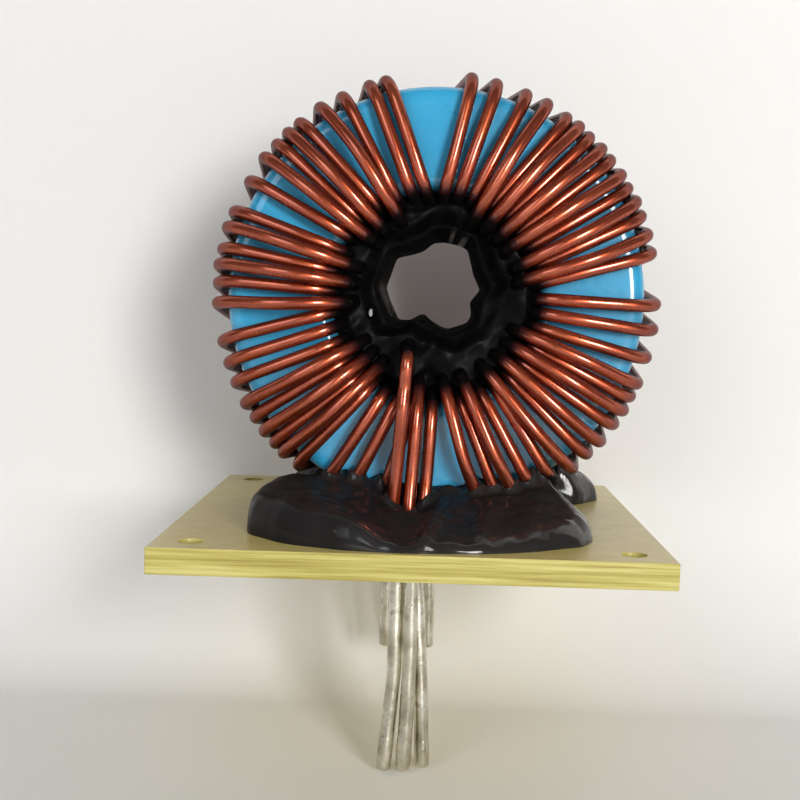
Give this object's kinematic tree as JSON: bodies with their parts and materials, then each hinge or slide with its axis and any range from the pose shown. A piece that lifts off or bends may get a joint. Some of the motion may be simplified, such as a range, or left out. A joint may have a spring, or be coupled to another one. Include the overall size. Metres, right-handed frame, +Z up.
{
  "type": "toroidal inductor",
  "caption": "Toroidal power inductor: a coated powder-core ring wound with parallel enamelled strands, potted upright on a square glass-epoxy board with tinned leads.",
  "frame": {"origin": "centre of the board's underside", "axes": "+Z up from the board through the ring, +Y along the ring's axis from the front leads to the rear leads, +X to the right seen from the front"},
  "size_m": [0.0546, 0.054, 0.0792],
  "materials": {
    "core_coating": "gloss epoxy coating",
    "enamelled_copper": "clear brown enamel over bright copper",
    "tinned_copper": "dipped solder coat",
    "glass_epoxy": "bare laminate, satin",
    "potting_resin": "glossy black resin"
  },
  "bodies": {
    "root": {"core": "core_coating", "strand_a": "enamelled_copper", "strand_b": "enamelled_copper", "strand_c": "enamelled_copper", "base_board": "glass_epoxy", "base_resin": "potting_resin", "bore_resin": "potting_resin"}
  },
  "joints": []
}
